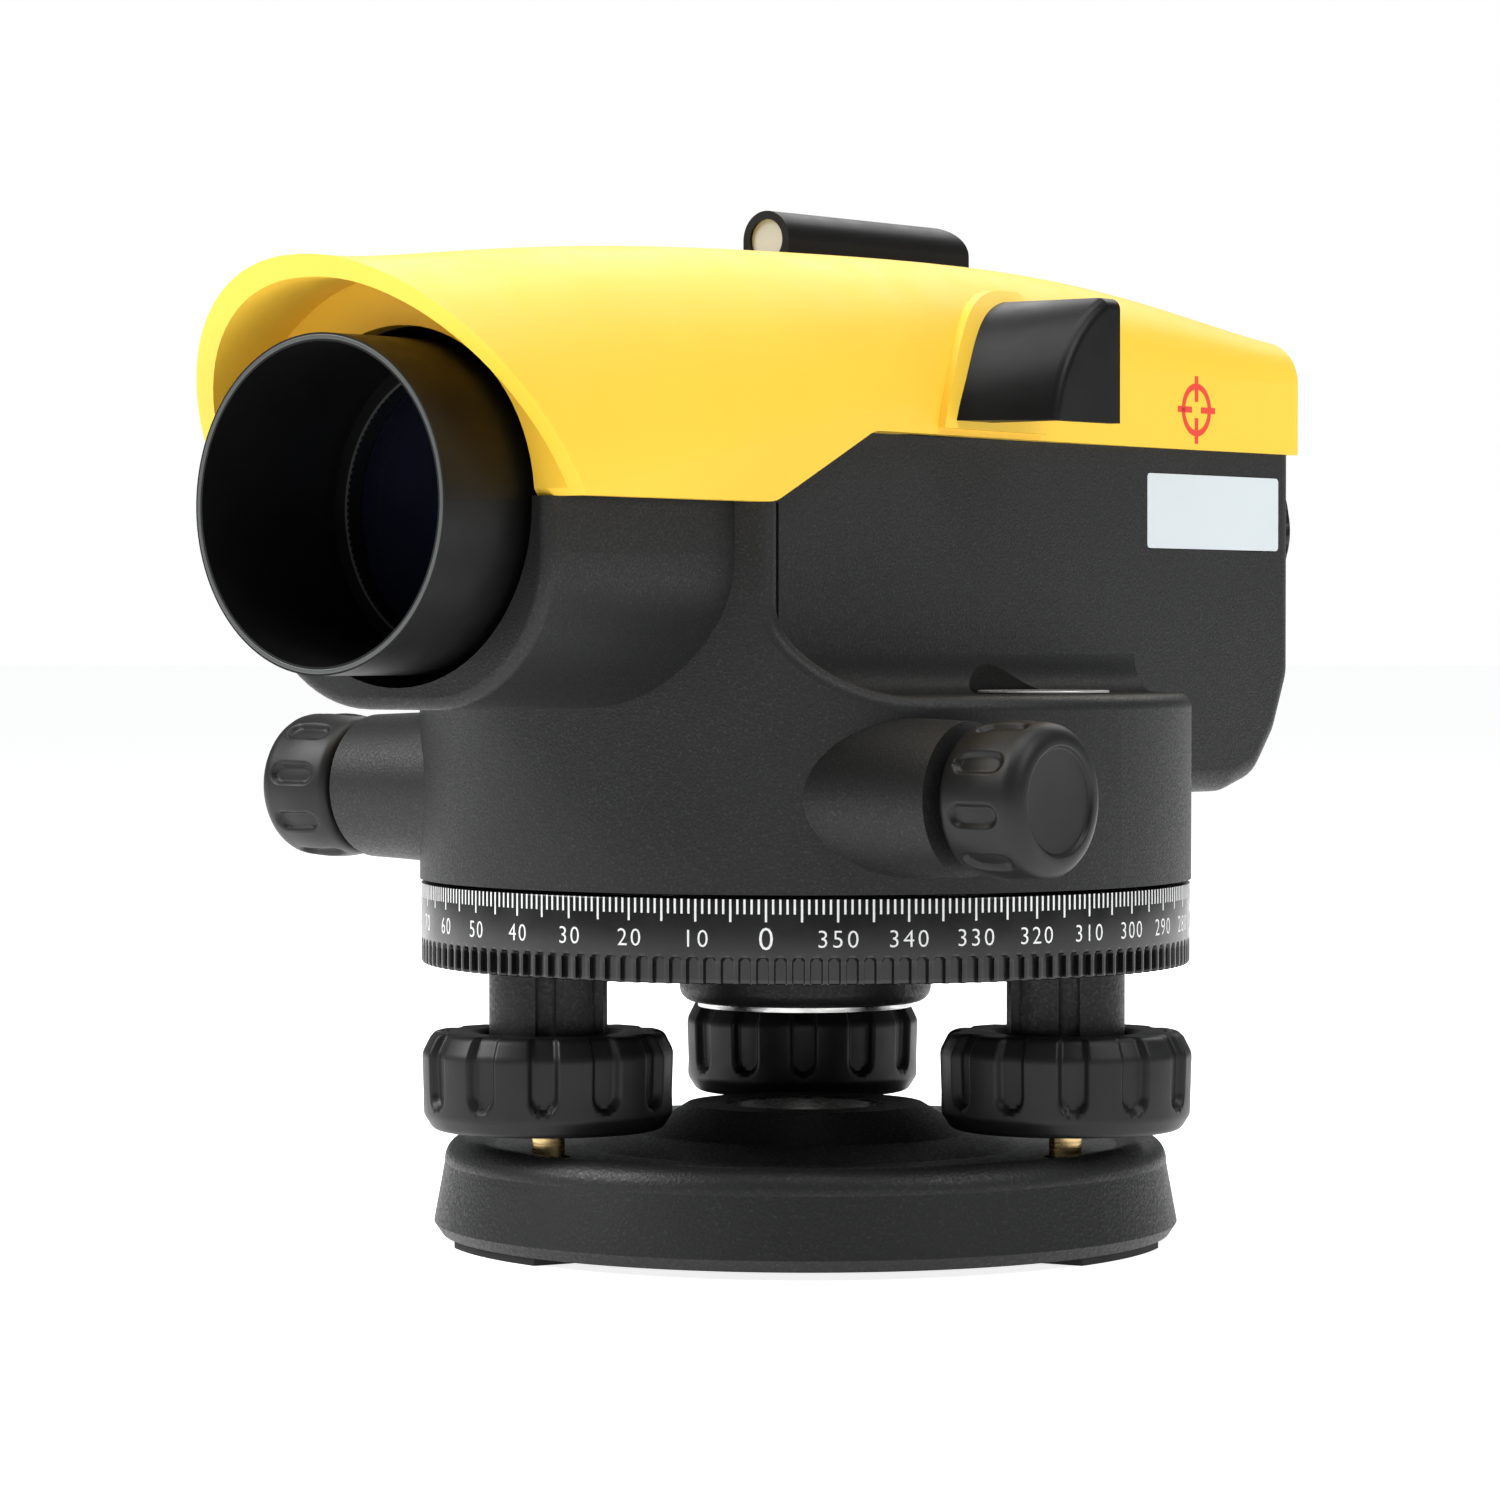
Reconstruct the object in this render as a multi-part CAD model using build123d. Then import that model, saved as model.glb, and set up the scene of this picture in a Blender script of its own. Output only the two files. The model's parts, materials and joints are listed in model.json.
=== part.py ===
from build123d import *
import os
from math import cos, pi, radians, sin, tau

os.makedirs("parts", exist_ok=True)

# An automatic (self-levelling) surveyor's level. Millimetres, +Z up. The origin is on the vertical axis
# in the plane of the foot pads. The objective looks along -Y and the eyepiece is at +Y.
# An azimuth of A degrees is the direction (sin A, -cos A).

# ---- driving dimensions ----
CIRCLE_R = 50.0          # horizontal circle, 100 mm across
DRUM_R = 50.2            # housing drum over the circle
OPTICAL_Z = 93.6         # telescope axis above the foot pads
BOX_X = 22.0             # half width of the telescope box
BOX_REAR_Y = 82.5
WALL = 2.5               # casting wall
SPLIT_LOW_Z = 94.5       # parting line of the cover, at the objective
SPLIT_HIGH_Z = 103.8     # and from the middle to the rear
SPLIT_STEP_Y = (-41.0, -20.0)
LEDGE_Z = 71.0           # top of the drum
DRUM_FLOOR_Z = 68.0      # underside of the drum's ceiling
DRUM_BOTTOM_Z = 47.0
DRUM_INNER_R = 47.2
HOOD_R = 20.0
HOOD_FRONT_Y = -91.3
BARREL_R = 24.1
BARREL_CORNER_R = 18.5   # lower corners of the barrel, whose sides run straight down
BARREL_BORE_R = 21.5
BARREL_FRONT_Y = -78.0

SCREW_PITCH_R = 37.9     # footscrews about the vertical axis
SCREW_AZIMUTHS = {"left": -20.93, "right": 99.07, "rear": 219.07}
BALL_R = 2.5
BALL_Z = 9.5             # centres of the thrust balls, the pivots of all tilting
KNOB_R = 16.0
KNOB_Z = (15.9, 28.3)
SPINDLE_R = 3.0
BASE_TOP_Z = 12.3
HUB_TOP_Z = 17.5
BUSH_R = 10.3
THREAD_MINOR_R = 6.75    # 5/8 inch, 11 turns to the inch, tapping size

DRIVE_Y, DRIVE_Z = -29.4, 58.7   # cross shaft of the fine drive
WHEEL_TEETH = 61
WHEEL_MODULE = 0.8
WORM_CORE_R, WORM_CREST_R = 3.9, 5.7
WORM_PHASE = 90.0        # puts a gap of the worm on the wheel's tooth at rest
DRIVE_KNOB_X = (50.0, 62.1)
DRIVE_KNOB_R = 9.7

FOCUS_Y, FOCUS_Z = 5.0, 86.5     # focusing shaft
PINION_TEETH = 12
PINION_MODULE = 0.5
FOCUS_KNOB_R = 14.0
CARRIAGE_R = 9.95
TELESCOPE_R = 11.5

PENDULUM_Y, PENDULUM_Z = 47.0, 99.0
LEVEL_X, LEVEL_Y = 31.0, 10.0    # circular level, on the ledge
LEVEL_R = 8.4
RUNNING = 0.05           # radial clearance of a running fit


# ---- shape helpers ----
def around(radius, azimuth):
    a = radians(azimuth)
    return radius * sin(a), -radius * cos(a)


def block(x0, x1, y0, y1, z0, z1):
    return Pos((x0 + x1) / 2, (y0 + y1) / 2, (z0 + z1) / 2) * Box(x1 - x0, y1 - y0, z1 - z0)


def rod(r, z0, z1, x=0.0, y=0.0):
    return Pos(x, y, (z0 + z1) / 2) * Cylinder(r, z1 - z0)


def rod_x(r, x0, x1, y=0.0, z=0.0):
    return Pos((x0 + x1) / 2, y, z) * Rot(0, 90, 0) * Cylinder(r, x1 - x0)


def rod_y(r, y0, y1, x=0.0, z=OPTICAL_Z):
    return Pos(x, (y0 + y1) / 2, z) * Rot(90, 0, 0) * Cylinder(r, y1 - y0)


def tube(r_out, r_in, z0, z1, x=0.0, y=0.0):
    return rod(r_out, z0, z1, x, y) - rod(r_in, z0 - 1, z1 + 1, x, y)


def tube_x(r_out, r_in, x0, x1, y=0.0, z=0.0):
    return rod_x(r_out, x0, x1, y, z) - rod_x(r_in, x0 - 1, x1 + 1, y, z)


def tube_y(r_out, r_in, y0, y1):
    return rod_y(r_out, y0, y1) - rod_y(r_in, y0 - 1, y1 + 1)


def turned(*curves):
    """Solid of revolution about Z from edges in the XZ plane that close a loop."""
    return revolve(make_face(Curve() + list(curves)), Axis.Z)


def turned_points(points):
    return turned(Polyline(*[(r, 0, z) for r, z in points], close=True))


def side_prism(points, half_width, rounded=(), radius=1.0, x=0.0):
    """Prism across X from a side outline of (y, z) points; rounded lists the corners to round."""
    outline = Plane.YZ * make_face(Polyline(*points, close=True))
    for y, z in rounded:
        corner = min(outline.vertices(), key=lambda v: (v.Y - y) ** 2 + (v.Z - z) ** 2)
        outline = fillet(corner, radius)
    return Pos(x, 0, 0) * extrude(outline, half_width, both=True)


def circles_at(part, z, r_min=0.0):
    """Round edges of a part at one height."""
    edges = part.edges().filter_by(GeomType.CIRCLE)
    return [e for e in edges if abs(e.center().Z - z) < 0.01 and e.radius > r_min]


def save(name, part):
    export_step(part, f"parts/{name}.step")


def spur_gear(teeth, module, z0, z1, tip, root, phase=0.0, tooth=0.36):
    """Gear about Z with straight-sided teeth; tooth is the tip's share of a pitch."""
    pitch_r = module * teeth / 2
    step = tau / teeth
    points = []
    for i in range(teeth):
        middle = phase + i * step
        for r, share in ((root, -tooth * 0.75), (tip, -tooth * 0.4), (tip, tooth * 0.4), (root, tooth * 0.75)):
            angle = middle + share * step
            points.append(((pitch_r + r) * cos(angle), (pitch_r + r) * sin(angle)))
    return Pos(0, 0, z0) * extrude(make_face(Polyline(*points, close=True)), z1 - z0)


# ---- base plate and what is fixed to it ----
def make_base():
    rim_r, rim_z = 48.4, 2.5
    recess_r = (14.0, 41.0)
    ceiling_z = 8.5
    plate = turned(
        Polyline((BUSH_R, 0, 2.0), (BUSH_R, 0, HUB_TOP_Z), (15.4, 0, HUB_TOP_Z), (16.4, 0, 16.9),
                 (21.5, 0, 13.9), (29.0, 0, BASE_TOP_Z), (40.5, 0, BASE_TOP_Z), (43.2, 0, 13.3)),
        ThreePointArc((43.2, 0, 13.3), (46.1, 0, 12.6), (47.0, 0, 10.2)),
        Polyline((47.0, 0, 10.2), (rim_r, 0, rim_z), (47.4, 0, 1.0), (recess_r[1], 0, 1.0),
                 (recess_r[1], 0, ceiling_z), (recess_r[0], 0, ceiling_z), (recess_r[0], 0, 2.0),
                 (BUSH_R, 0, 2.0)),
    )
    pillar_z = 4.6
    spring = tube(20.0, 15.0, pillar_z - 1.0, pillar_z)
    pads, screws = [], []
    pocket_floor = BALL_Z - BALL_R - 0.03
    for azimuth in SCREW_AZIMUTHS.values():
        x, y = around(SCREW_PITCH_R, azimuth)
        plate += rod(6.0, pillar_z, 9.0, x * 0.9, y * 0.9) + rod(3.5, pillar_z, 9.0, x * 0.72, y * 0.72)
        plate -= rod(BALL_R + 0.3, pocket_floor, 20.0, x, y)
        plate -= rod(1.4, pillar_z - 1, 7.6, x * 0.72, y * 0.72)
        arm = Rot(0, 0, azimuth) * block(-4.0, 4.0, -38.0, -17.0, pillar_z - 1.0, pillar_z)
        spring += arm
        spring -= rod(1.6, 0, 9, x * 0.72, y * 0.72)
        screws.append(rod(2.6, 2.4, pillar_z - 1.0, x * 0.72, y * 0.72)
                      + rod(1.4, pillar_z - 1.0, 7.6, x * 0.72, y * 0.72))
        sector = Rot(0, 0, azimuth) * block(-11.0, 11.0, -60.0, -20.0, 0, 1.0)
        pads.append(tube(47.0, 41.6, 0, 1.0) & sector)
    save("base_plate", plate)
    save("spring_plate", spring)
    save("spring_plate_screws", Part() + screws)
    save("foot_pads", Part() + pads)
    save("tripod_bush", turned_points([(THREAD_MINOR_R, 0), (THREAD_MINOR_R, 14.6), (9.7, 17.3), (BUSH_R, 17.3),
                                       (BUSH_R, 0)]))


# ---- footscrews ----
def make_footscrew(side, azimuth):
    x, y = around(SCREW_PITCH_R, azimuth)
    low, high = KNOB_Z
    recess_r, recess_z = 9.0, 23.6
    knob = rod(KNOB_R, low, high)
    knob = fillet(circles_at(knob, high), 1.6)
    knob = fillet(circles_at(knob, low), 1.2)
    flute_r, flute_at, flute_low, flutes = 2.6, KNOB_R + 1.5, low + 5.2, 12
    for i in range(flutes):
        fx, fy = around(flute_at, 360 / flutes * i)
        knob -= rod(flute_r, flute_low, high + 2, fx, fy) + Pos(fx, fy, flute_low) * Sphere(flute_r)
    knob -= rod(recess_r, recess_z, high + 1) + rod(SPINDLE_R, low - 1, high)
    spindle = rod(2.1, BALL_Z + BALL_R + 0.05, low + 0.1) + rod(SPINDLE_R, low, 37.5)
    save(f"footscrew_knob_{side}", Pos(x, y, 0) * Rot(0, 0, azimuth) * knob)
    save(f"footscrew_spindle_{side}", Pos(x, y, 0) * spindle)
    save(f"footscrew_washer_{side}", tube(5.6, 2.2, low - 0.55, low - 0.05, x, y))
    save(f"thrust_ball_{side}", Pos(x, y, BALL_Z) * Sphere(BALL_R))


# ---- tribrach ----
HUB_R = 16.4
HUB_BOTTOM_Z = 30.8
AXIS_BUSH_R = 8.0
AXIS_R = 6.95


def make_tribrach():
    web_z, web_r = (37.2, 41.2), 46.0
    column_r, column_bottom, nut_r = 7.5, 26.0, 5.0
    hub = fillet(circles_at(rod(HUB_R, HUB_BOTTOM_Z, 44.0), HUB_BOTTOM_Z), 2.0)
    body = rod(web_r, *web_z) + hub + rod(11.5, 43.0, 62.0)
    body -= rod(AXIS_BUSH_R, HUB_BOTTOM_Z - 1, 63)
    nuts = []
    for azimuth in SCREW_AZIMUTHS.values():
        x, y = around(SCREW_PITCH_R, azimuth)
        body += rod(column_r, column_bottom, web_z[1], x, y)
        for groove in (-60, 60, 120, -120):
            gx, gy = around(column_r + 0.6, azimuth + groove)
            body -= rod(1.5, column_bottom - 1, web_z[0], x + gx, y + gy)
        body -= rod(nut_r, column_bottom - 1, 39.6, x, y)
        nuts.append(tube(nut_r, SPINDLE_R + RUNNING, column_bottom + 1, 36.0, x, y))
    save("tribrach", body)
    save("footscrew_nuts", Part() + nuts)
    save("axis_bush", tube(AXIS_BUSH_R, AXIS_R + RUNNING, 35.2, 62.0))
    save("hub_plate", rod(14.0, HUB_BOTTOM_Z - 0.6, HUB_BOTTOM_Z))


def make_circle():
    ring = tube(CIRCLE_R, 47.0, 36.1, 46.6)
    ring = fillet(circles_at(ring, 36.1, 48), 0.6)
    save("horizontal_circle", ring + tube(48.0, HUB_R + RUNNING, 42.0, 43.6))


# ---- endless fine drive ----
def make_drive():
    wheel = spur_gear(WHEEL_TEETH, WHEEL_MODULE, 56.9, 60.5, 0.75, -1.15, phase=-pi / 2, tooth=0.4)
    save("worm_wheel", wheel - rod(11.5 + RUNNING, 50, 65))
    pitch = pi * WHEEL_MODULE
    core_r, turns = WORM_CORE_R, 3
    start = turns * pitch / 2
    path = Helix(pitch=pitch, height=turns * pitch, radius=core_r)
    crest = Plane(origin=path @ 0, x_dir=(1, 0, 0), z_dir=path % 0) * Rectangle(
        2 * (WORM_CREST_R - core_r), 0.8)
    thread = sweep(crest, path=path, is_frenet=True)
    worm = Pos(0, 0, -start) * thread + rod(core_r, -start - 2, start + 2)
    worm = Pos(0, DRIVE_Y, DRIVE_Z) * Rot(0, 90, 0) * Rot(0, 0, WORM_PHASE) * worm
    shaft = worm + rod_x(SPINDLE_R, -59.0, 59.0, DRIVE_Y, DRIVE_Z)
    save("drive_shaft", shaft)
    bushes = [tube_x(4.0, 2.0 + RUNNING, -23.6, -18.6, FOCUS_Y, FOCUS_Z)]
    for name, s in (("left", -1), ("right", 1)):
        x0, x1 = DRIVE_KNOB_X
        knob = rod(DRIVE_KNOB_R, x0, x1)
        knob = fillet(circles_at(knob, x0) + circles_at(knob, x1), 2.2)
        flutes = 9
        for i in range(flutes):
            fx, fy = around(DRIVE_KNOB_R + 1.2, 360 / flutes * i)
            oval = rod(1.9, x0 + 4.0, x1 - 4.2, fx, fy)
            knob -= oval + Pos(fx, fy, x0 + 4.0) * Sphere(1.9) + Pos(fx, fy, x1 - 4.2) * Sphere(1.9)
        knob -= rod(5.8, x1 - 0.6, x1 + 1) + rod(SPINDLE_R, x0 - 1, 59.0)
        save(f"drive_knob_{name}", Pos(0, DRIVE_Y, DRIVE_Z) * Rot(0, 90 * s, 0) * knob)
        ends = sorted((s * 39.0, s * 48.5))
        bushes.append(tube_x(4.6, SPINDLE_R + RUNNING, *ends, DRIVE_Y, DRIVE_Z))
    save("shaft_bushes", Part() + bushes)


# ---- outlines that the housing and the cover share ----
def above_split():
    """Everything over the parting line, as a prism across X."""
    (y0, y1), low, high = SPLIT_STEP_Y, SPLIT_LOW_Z, SPLIT_HIGH_Z
    points = [(-130, low), (y0, low), (y1, high), (130, high), (130, 160), (-130, 160)]
    return side_prism(points, 70, rounded=[(y0, low), (y1, high)], radius=6.0)


def cover_loft(inset, y_rear):
    """The cover's outer form, or with an inset its inner one, before it is cut to the parting line."""
    stations = ((-98.0 - inset, 29.0, 122.6, 28.6), (-62.0, 28.7, 125.0, 27.0), (-32.0, 27.6, 126.8, 23.0),
                (0.0, 25.6, 127.3, 18.0), (30.0, 23.6, 126.8, 14.0), (58.0, 22.7, 123.8, 10.0),
                (y_rear, 22.3, 119.8, 6.0))
    sections = []
    for y, half, top, corner in stations:
        w, t, r = half - inset, top - inset, corner - inset
        k = r * (1 - cos(pi / 4))
        arch = Curve() + [
            Polyline((-w, y, 88), (-w, y, t - r)),
            ThreePointArc((-w, y, t - r), (-w + k, y, t - k), (-w + r, y, t)),
            Line((-w + r, y, t), (w - r, y, t)),
            ThreePointArc((w - r, y, t), (w - k, y, t - k), (w, y, t - r)),
            Polyline((w, y, t - r), (w, y, 88), (-w, y, 88)),
        ]
        sections.append(make_face(arch))
    return loft(sections)


# ---- housing ----
def barrel_form(y0, y1):
    """Barrel of the telescope: round above the axis, straight-sided with round corners below it."""
    w, r, axis = BARREL_R, BARREL_CORNER_R, OPTICAL_Z
    k = r * (1 - cos(pi / 4))
    low = axis - w
    outline = Curve() + [
        Line((-w, y0, axis), (-w, y0, low + r)),
        ThreePointArc((-w, y0, low + r), (-w + k, y0, low + k), (-w + r, y0, low)),
        Line((-w + r, y0, low), (w - r, y0, low)),
        ThreePointArc((w - r, y0, low), (w - k, y0, low + k), (w, y0, low + r)),
        Line((w, y0, low + r), (w, y0, axis)),
        ThreePointArc((w, y0, axis), (0, y0, axis + w), (-w, y0, axis)),
    ]
    return extrude(make_face(outline), amount=y1 - y0, dir=(0, 1, 0))


def make_housing():
    (step_y, _), top = SPLIT_STEP_Y, SPLIT_LOW_Z
    pocket_y, corner_r = -39.2, 11.0
    # drum, cut down to the ledge behind the front flank, with its long edge rounded
    behind = side_prism([(pocket_y, 130), (pocket_y, LEDGE_Z), (70, LEDGE_Z), (70, 130)], 70,
                        rounded=[(pocket_y, LEDGE_Z)], radius=corner_r)
    body = rod(DRUM_R, DRUM_BOTTOM_Z, top) - behind
    rim = [e for e in body.edges() if top - 0.1 > e.center().Z > LEDGE_Z - 0.1
           and abs((e @ 0.5).X) > 5 and abs(((e @ 0.5).X ** 2 + (e @ 0.5).Y ** 2) ** 0.5 - DRUM_R) < 0.01]
    body = fillet(rim, 1.8)
    rear = BOX_REAR_Y
    corners = [(rear, 73.0), (79.0, 65.0), (74.0, 59.0), (67.0, 57.0)]
    box = side_prism([(pocket_y - 2, 66), (pocket_y - 2, SPLIT_HIGH_Z), (rear, SPLIT_HIGH_Z)] + corners
                     + [(40, 57.0), (40, 66)], BOX_X, rounded=corners, radius=6.0)
    box = fillet([e for e in box.edges().filter_by(Axis.Z) if e.center().Y > rear - 1], 3.0)
    body += box
    # soft inside corners between the box, the ledge and the flank
    pocket = block(BOX_X, 70, pocket_y, 70, LEDGE_Z, 130)
    pocket = fillet([e for e in pocket.edges().filter_by(Axis.X)
                     if e.center().Y < 0 and e.center().Z < 80], corner_r)
    inner = [f for f in pocket.faces() if abs(f.center().X - BOX_X) < 0.01][0]
    pocket = fillet([e for e in inner.edges() if e.center().Y < 60 and e.center().Z < 120], 5.0)
    filler = (block(BOX_X, BOX_X + 5, pocket_y, 70, LEDGE_Z, 130) - pocket) & rod(DRUM_R - 1.6, 60, top)
    body += filler + mirror(filler, Plane.YZ)
    body -= above_split()
    barrel_low = barrel_form(BARREL_FRONT_Y, step_y)
    barrel_low = fillet([e for e in barrel_low.edges() if e.center().Y < BARREL_FRONT_Y + 0.1], 1.5)
    collar_gap = block(-30, 30, BARREL_FRONT_Y - 1, BARREL_FRONT_Y + 3.5, top, 130)
    body += barrel_low - collar_gap

    root_r, end_r, root_x, end_x = 10.3, 9.4, 26.0, 48.5
    for s in (-1, 1):
        boss = Pos(0, 0, (root_x + end_x) / 2) * Cone(root_r, end_r, end_x - root_x)
        body += Pos(0, DRIVE_Y, DRIVE_Z) * Rot(0, 90 * s, 0) * boss

    # hollows
    body -= rod(DRUM_INNER_R, DRUM_BOTTOM_Z - 1, DRUM_FLOOR_Z)
    body -= rod_y(BARREL_BORE_R, BARREL_FRONT_Y - 1, -37.9)
    inner_x = BOX_X - WALL
    body -= block(-inner_x, inner_x, -38.0, rear - 3.0, LEDGE_Z, SPLIT_HIGH_Z + 1)
    body -= block(-inner_x, inner_x, 53.5, 75.0, 62.0, LEDGE_Z + 1)
    for s in (-1, 1):
        body -= rod_x(4.6, *sorted((s * 39.0, s * 60.0)), DRIVE_Y, DRIVE_Z)
        body -= rod_x(3.6, *sorted((s * 30.0, s * 40.0)), DRIVE_Y, DRIVE_Z)
    body -= rod_x(4.0, -BOX_X - 1, -inner_x + 1, FOCUS_Y, FOCUS_Z)
    body -= rod_y(NECK_R, rear - 4, rear + 1)
    # seat of the circular level, its relief in the side wall, the axis screws and the plate recess
    relief_r = LEVEL_X - BOX_X + 0.6
    body -= rod(LEVEL_R + RUNNING, 60, LEDGE_Z + 1, LEVEL_X, LEVEL_Y)
    body -= (Pos(LEVEL_X, LEVEL_Y, LEDGE_Z) * Sphere(relief_r)) & block(20, 50, -10, 30, LEDGE_Z, 90)
    for azimuth in (45, 135, 225, 315):
        x, y = around(11.5, azimuth)
        body -= rod(1.3, DRUM_FLOOR_Z - 1, LEDGE_Z - 0.6, x, y)
    body -= plate_block(0.5, 0.0)
    for x, y in COVER_SCREWS:
        body += lug(x, y, 97.0, SPLIT_HIGH_Z, BOX_X - 1.5) - rod(1.2, 96, 110, x, y)
    save("main_housing", body)
    save("housing_bottom_plate", tube(DRUM_INNER_R, 12.5, DRUM_BOTTOM_Z, 48.5))


NECK_R = 10.15            # eyepiece holder where it passes the rear wall
COVER_SCREWS = [(s * 16.0, y) for s in (-1, 1) for y in (-12.0, 76.0)]
LABEL_BOX = (46.3, 78.5, 90.2, 100.5)      # y0, y1, z0, z1 on the +X side


def plate_block(depth, gap):
    y0, y1, z0, z1 = LABEL_BOX
    plate = block(BOX_X - depth, BOX_X + (0 if gap else 1), y0 + gap, y1 - gap, z0 + gap, z1 - gap)
    return fillet(plate.edges().filter_by(Axis.X), 0.6)


def lug(x, y, z0, z1, reach):
    """Screw lug that runs outwards to the wall at x = +/-reach."""
    side = 1 if x > 0 else -1
    return block(*sorted((side * 12.8, side * reach)), y - 3.2, y + 3.2, z0, z1)


def make_cover():
    wall = 2.4
    shell = cover_loft(0.0, BOX_REAR_Y + 0.4)
    lugs = Part() + [lug(x, y, SPLIT_HIGH_Z, 112.0, 30.0) for x, y in COVER_SCREWS]
    hollow = cover_loft(wall, 84.0) & block(-40, 40, -120, 80.4, 80, 140)
    visor = side_prism([(-72.8, 88), (-102.9, 135), (-130, 135), (-130, 88)], 50)
    collar = block(-28, 28, BARREL_FRONT_Y + 0.5, BARREL_FRONT_Y + 3.0, SPLIT_LOW_Z, 130) - rod_y(
        BARREL_BORE_R, -90, -60)
    form = (shell & above_split()) - visor
    cover = (form - hollow) + ((collar + lugs) & form)
    for x, y in COVER_SCREWS:
        cover -= rod(1.2, 100, 109.5, x, y)
    cover -= sight_form(115.0)
    # raised seat of the bubble mirror on the +X side
    seat = Curve() + [
        Line((0, -5.8, 104.6), (0, 18.6, 104.6)),
        Line((0, 18.6, 104.6), (0, 18.6, 123.2)),
        Line((0, 18.6, 123.2), (0, 13.6, 123.2)),
        ThreePointArc((0, 13.6, 123.2), (0, -0.8, 115.4), (0, -5.8, 104.6)),
    ]
    seat = extrude(make_face(seat), amount=32, dir=(1, 0, 0)) & cover_loft(-1.1, BOX_REAR_Y + 0.4)
    cover += seat - shell
    save("top_cover", cover)
    return shell + seat


# ---- what stands on the cover ----
SIGHT_Y = (-8.2, 30.6)
SIGHT_Z, SIGHT_R, SIGHT_BORE_R = 129.45, 3.75, 2.7


def sight_form(z_low):
    """Outer form of the sight: a tube on a flat-sided foot that goes down to z_low."""
    y0, y1 = SIGHT_Y
    return rod_y(SIGHT_R, y0, y1, 0, SIGHT_Z) + block(-SIGHT_R, SIGHT_R, y0, y1, z_low, SIGHT_Z)


def make_sight():
    (y0, y1), z, r, bore, round_r = SIGHT_Y, SIGHT_Z, SIGHT_R, SIGHT_BORE_R, 4.0
    body = sight_form(124.8)
    corner = block(-9, 9, y1 - round_r, y1 + 1, z + r - round_r, z + r + 1)
    body -= corner - rod_x(round_r, -9, 9, y1 - round_r, z + r - round_r)
    save("sight_body", body - rod_y(bore, y0 - 1, y1 + 1, 0, z))
    front = rod_y(bore, y0 + 0.5, y0 + 2.5, 0, z)
    rear = rod_y(bore, y1 - 7.0, y1 - 5.5, 0, z)
    save("sight_lenses", Part() + [front, rear])


def make_mirror(cover):
    x0, x1, rear, low, high, wall = 18.0, 38.0, 17.0, 105.6, 121.6, 1.6
    ends = []
    for x, front, middle_y, middle_z, top_y in ((x0, -8.1, -3.0, 113.4, 13.0), (x1, 3.0, 7.0, 115.4, 14.2)):
        ends.append(make_face(Curve() + [
            Line((x, front, low), (x, rear, low)),
            Line((x, rear, low), (x, rear, high)),
            Line((x, rear, high), (x, top_y, high)),
            ThreePointArc((x, top_y, high), (x, middle_y, middle_z), (x, front, low)),
        ]))
    cowl = loft(ends)
    cowl = fillet([e for e in cowl.edges() if e.center().X > x1 - 0.1 and e.center().Y < rear - 0.1
                   and e.center().Z > low + 0.1], 1.5)
    # open below and behind; the glass lies on the hollow's 45 degree face and looks down and back
    foot_y, foot_z, rise = 5.2, low + 1.6, high - wall - low - 1.6
    hollow = side_prism([(foot_y, low - 1), (foot_y, foot_z), (foot_y + rise, foot_z + rise),
                         (rear + 1, foot_z + rise), (rear + 1, low - 1)], (x1 - x0) / 2 - wall,
                        x=(x0 + x1) / 2)
    save("mirror_housing", cowl - hollow - cover)
    thick = 1.2
    shift = rise / 2 + thick / 2 ** 1.5
    glass = Pos(30.4, foot_y + shift, foot_z + rise - shift) * Rot(45, 0, 0) * Box(11.0, 12.4, thick)
    save("bubble_mirror", glass - cover)


def make_level():
    x, y, floor, top = LEVEL_X, LEVEL_Y, 62.6, 71.4
    r, glass_r = LEVEL_R, 6.9
    save("level_cup", rod(r, floor, top, x, y) - rod(glass_r, floor + 1.4, top + 1, x, y))
    glass = rod(glass_r, floor + 1.4, top - 0.5, x, y)
    save("level_vial", fillet(circles_at(glass, top - 0.5), 0.6))


# ---- optics ----
def make_telescope():
    save("lens_hood", tube_y(HOOD_R, HOOD_R - 1.0, HOOD_FRONT_Y, -66.0))
    cell = tube_y(BARREL_BORE_R, 15.0, -66.0, -46.0) - rod_y(17.6, -67.0, -57.0)
    save("objective_cell", cell)
    save("objective_ring", tube_y(HOOD_R - 1.0, 17.0, -68.5, -66.0))
    lens = rod_y(17.6, -65.9, -57.0) - Pos(0, -57.0 + 52.0, OPTICAL_Z) * Sphere(53.5)
    save("objective_lens", lens)
    tel = tube_y(TELESCOPE_R + 3.5, TELESCOPE_R, -50.0, -46.0) + tube_y(TELESCOPE_R, 10.0, -47.0, 32.0)
    slot = block(-13.0, -8.0, -8.2, 20.2, 89.9, 92.9)
    foot = block(-4.0, 4.0, 24.0, 30.0, LEDGE_Z, 84.0) - rod_y(10.5, 20, 34)
    save("telescope_tube", tel - rod_y(10.0, -52, 33) - slot + foot)


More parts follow.
